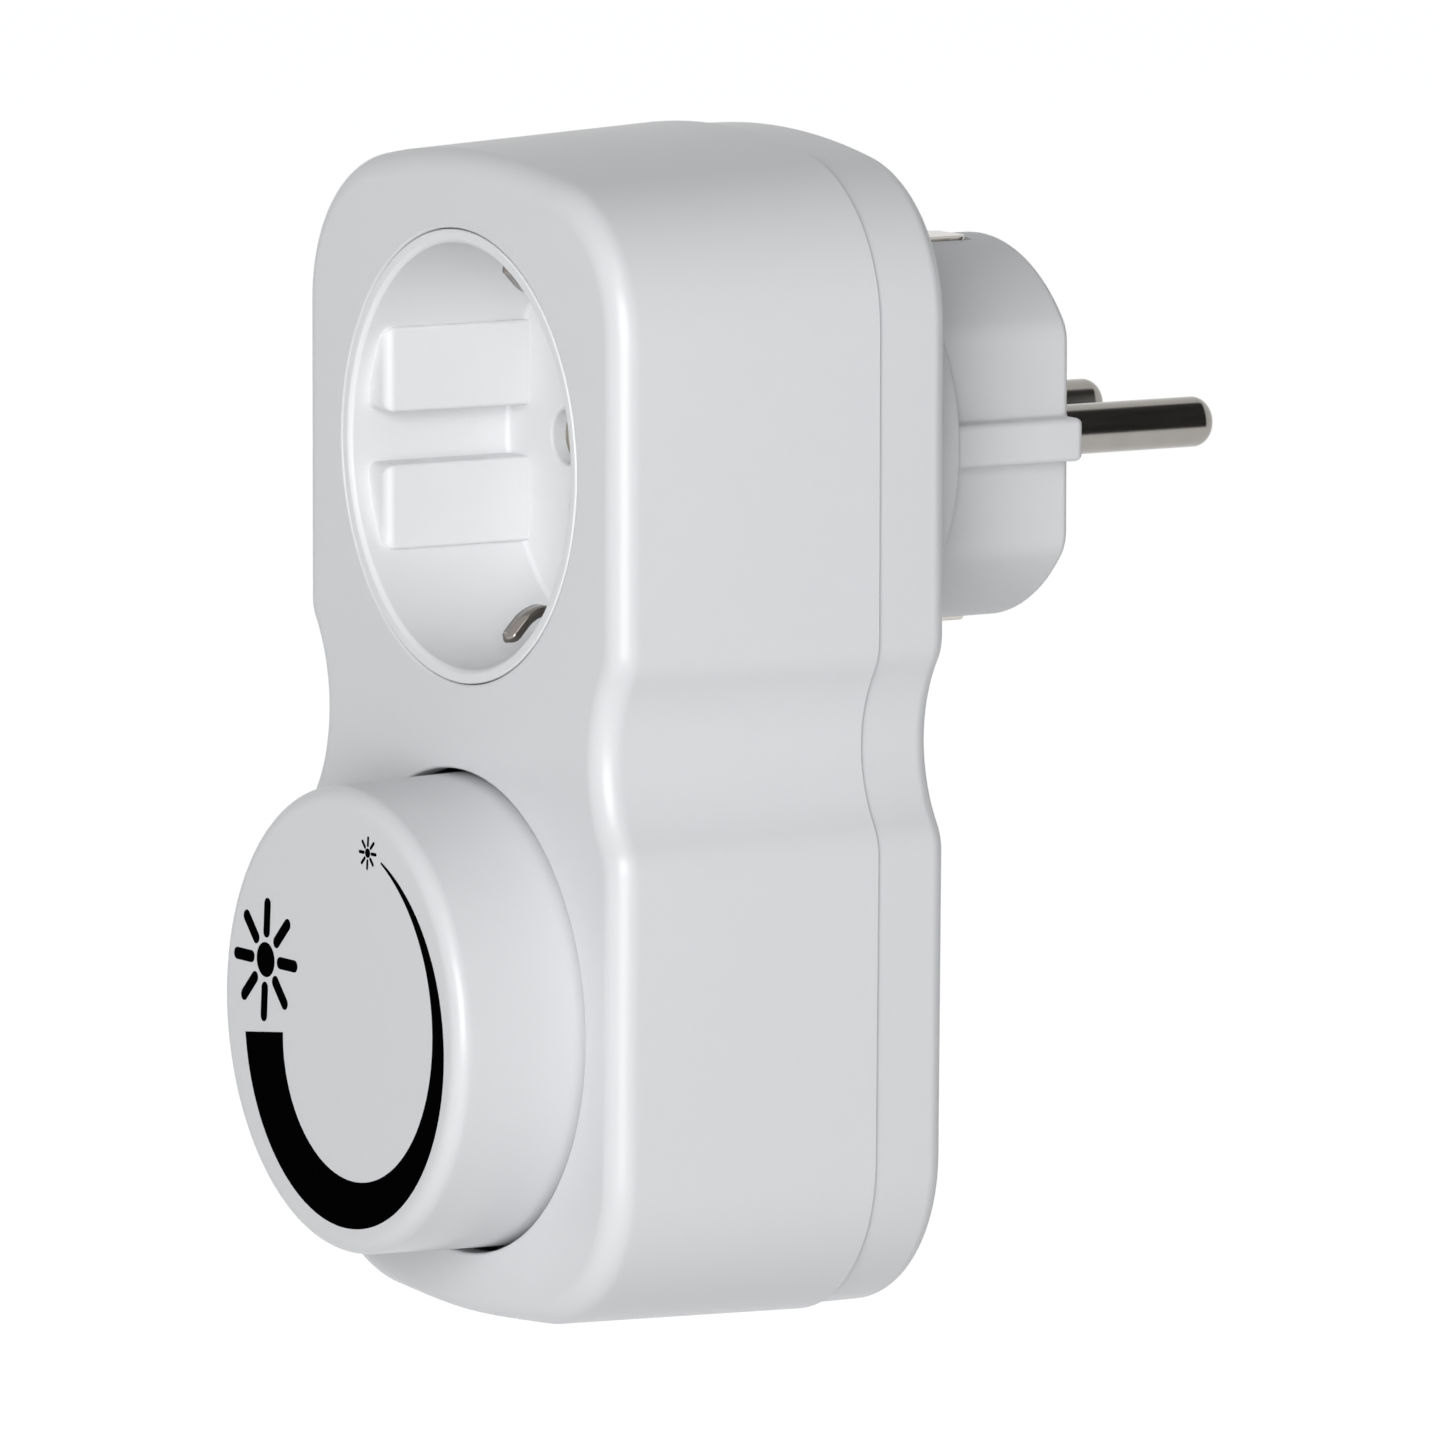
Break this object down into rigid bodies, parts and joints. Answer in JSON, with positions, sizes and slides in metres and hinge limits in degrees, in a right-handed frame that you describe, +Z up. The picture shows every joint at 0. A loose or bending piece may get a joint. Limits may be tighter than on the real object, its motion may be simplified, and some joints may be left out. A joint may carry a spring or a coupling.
{
  "type": "plug in dimmer",
  "caption": "Plug-in dimmer: a waisted body with an earthed plug behind, a recessed earthed socket above and a large rotary dimming knob below.",
  "frame": {"origin": "centre of the plug's pin face, on the plug axis, where the two pins leave it", "axes": "+Y towards the wall along the pins, +Z up, +X right as seen from the front, which faces -Y"},
  "size_m": [0.059, 0.0902, 0.1106],
  "materials": {
    "shell_plastic": "smooth white moulding",
    "socket_plastic": "smooth white moulding",
    "plug_plastic": "satin white moulding",
    "plated_pins": "nickel plated",
    "nickel_strap": "nickel plated",
    "contact_brass": "rolled",
    "carrier_plastic": "moulded",
    "screw_steel": "zinc plated",
    "board_laminate": "solder lacquer",
    "case_plastic": "moulded",
    "bushing_metal": "nickel plated",
    "plunger_plastic": "moulded",
    "device_resin": "moulded",
    "sink_aluminium": "rolled",
    "choke_copper": "enamelled winding",
    "capacitor_resin": "moulded box",
    "fuse_glass": "clear tube with plated caps",
    "component_lacquer": "lacquered",
    "live_insulation": "insulation",
    "load_insulation": "insulation",
    "neutral_insulation": "insulation"
  },
  "bodies": {
    "housing": {"front_housing": "shell_plastic", "rear_cover": "shell_plastic", "socket_insert": "socket_plastic", "plug_body": "plug_plastic", "plug_pin_left": "plated_pins", "plug_pin_right": "plated_pins", "plug_earth_strap": "nickel_strap", "socket_earth_strap": "nickel_strap", "earth_rivet": "nickel_strap", "socket_contact_left": "contact_brass", "socket_contact_right": "contact_brass", "fuse_clips": "contact_brass", "contact_carrier": "carrier_plastic", "housing_screws": "screw_steel", "board_screws": "screw_steel", "triac_screw": "screw_steel", "shutter_spring": "screw_steel", "switch_spring": "screw_steel", "circuit_board": "board_laminate", "pot_case": "case_plastic", "switch_case": "case_plastic", "pot_bushing": "bushing_metal", "triac": "device_resin", "heat_sink": "sink_aluminium", "suppression_choke": "choke_copper", "film_capacitor": "capacitor_resin", "fuse": "fuse_glass", "small_components": "component_lacquer", "live_wire": "live_insulation", "load_wire": "load_insulation", "neutral_wire": "neutral_insulation"},
    "rotor": {"pot_rotor": "carrier_plastic"},
    "knob": {"dimmer_knob": "shell_plastic", "control_shaft": "case_plastic"},
    "plunger": {"switch_plunger": "plunger_plastic"},
    "shutter": {"shutter": "socket_plastic"}
  },
  "joints": [
    {"name": "knob_turn", "type": "hinge", "parent": "housing", "child": "rotor", "pos_m": [0, -0.0582, -0.0521], "axis": [0, -1, 0], "range_deg": [-135, 135]},
    {"name": "knob_push", "type": "slide", "parent": "rotor", "child": "knob", "axis": [0, 1, 0], "range_m": [0, 0.0015], "stiffness_N_per_m": 1500, "springref_m": -0.001},
    {"name": "plunger_push", "type": "slide", "parent": "housing", "child": "plunger", "axis": [0, 1, 0], "range_m": [0, 0.0015], "deforming": ["switch_spring"]},
    {"name": "shutter_slide", "type": "slide", "parent": "housing", "child": "shutter", "axis": [0, 0, 1], "range_m": [0, 0.006], "stiffness_N_per_m": 100, "springref_m": -0.003, "deforming": ["shutter_spring"]}
  ],
  "couplings": [
    {"joint": "plunger_push", "follows": "knob_push", "ratio": 1}
  ]
}
